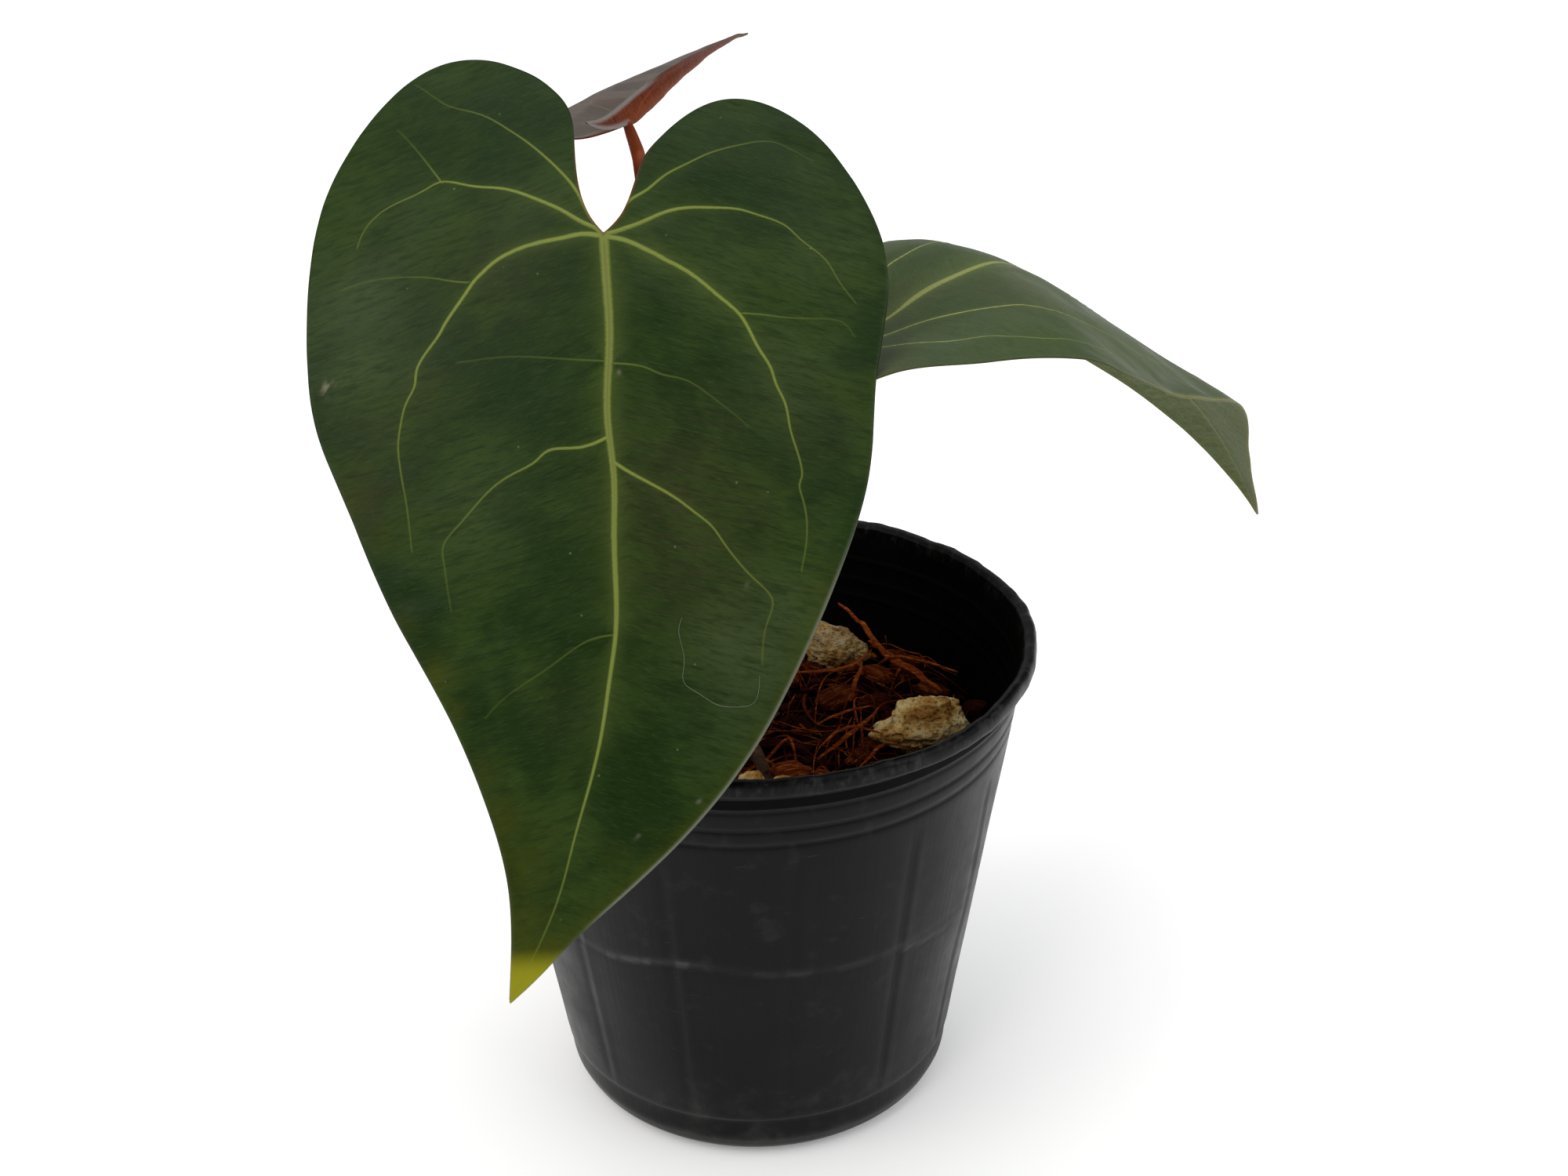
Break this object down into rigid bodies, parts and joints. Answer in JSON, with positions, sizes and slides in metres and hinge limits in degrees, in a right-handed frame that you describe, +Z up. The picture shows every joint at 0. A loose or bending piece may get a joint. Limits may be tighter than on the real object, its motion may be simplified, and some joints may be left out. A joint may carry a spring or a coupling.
{
  "type": "potted anthurium",
  "caption": "Young velvet-leaf anthurium with heart-shaped blades on slender stalks, growing from coco husk and pumice in a tapered round plastic nursery pot.",
  "frame": {"origin": "centre of the pot's flat underside", "axes": "+Z up out of the pot; -Y towards the large front leaf; +X towards the arching side leaf"},
  "size_m": [0.1926, 0.2163, 0.2261],
  "materials": {
    "pot_plastic": "dark charcoal moulded plastic, satin, finely scuffed",
    "mix": "damp coarse coco husk and fibre, matt",
    "husk": "rough fibrous husk flakes, matt",
    "fibre": "dry coir strand",
    "pumice": "porous cream to tan stone, matt",
    "leaf_green": "dark green velvety upper face with yellow-green veins, paler below",
    "leaf_young": "grey-brown upper face, red-brown underside",
    "stalk_green": "smooth green stalk, brownish at the ends",
    "stalk_red": "smooth red-brown young stalk",
    "crown": "knobbly brown-green stem and roots",
    "sheath": "dry papery bract"
  },
  "bodies": {
    "root": {"nursery_pot": "pot_plastic", "potting_mix": "mix", "pumice_1": "pumice", "pumice_2": "pumice", "pumice_3": "pumice", "pumice_4": "pumice", "pumice_5": "pumice", "pumice_6": "pumice", "pumice_7": "pumice", "pumice_8": "pumice", "husk_chip_1": "husk", "husk_chip_2": "husk", "husk_chip_3": "husk", "husk_chip_4": "husk", "husk_chip_5": "husk", "husk_chip_6": "husk", "husk_chip_7": "husk", "husk_chip_8": "husk", "husk_chip_9": "husk", "husk_chip_10": "husk", "coco_fibre_1": "fibre", "coco_fibre_2": "fibre", "coco_fibre_3": "fibre", "coco_fibre_4": "fibre", "coco_fibre_5": "fibre", "crown_stem": "crown", "cataphyll_1": "sheath", "cataphyll_2": "sheath", "cataphyll_3": "sheath", "aerial_root_1": "crown", "aerial_root_2": "crown", "petiole_front": "stalk_green", "petiole_right": "stalk_green", "petiole_young": "stalk_red", "blade_front": "leaf_green", "blade_right": "leaf_green", "blade_young": "leaf_young"}
  },
  "joints": []
}
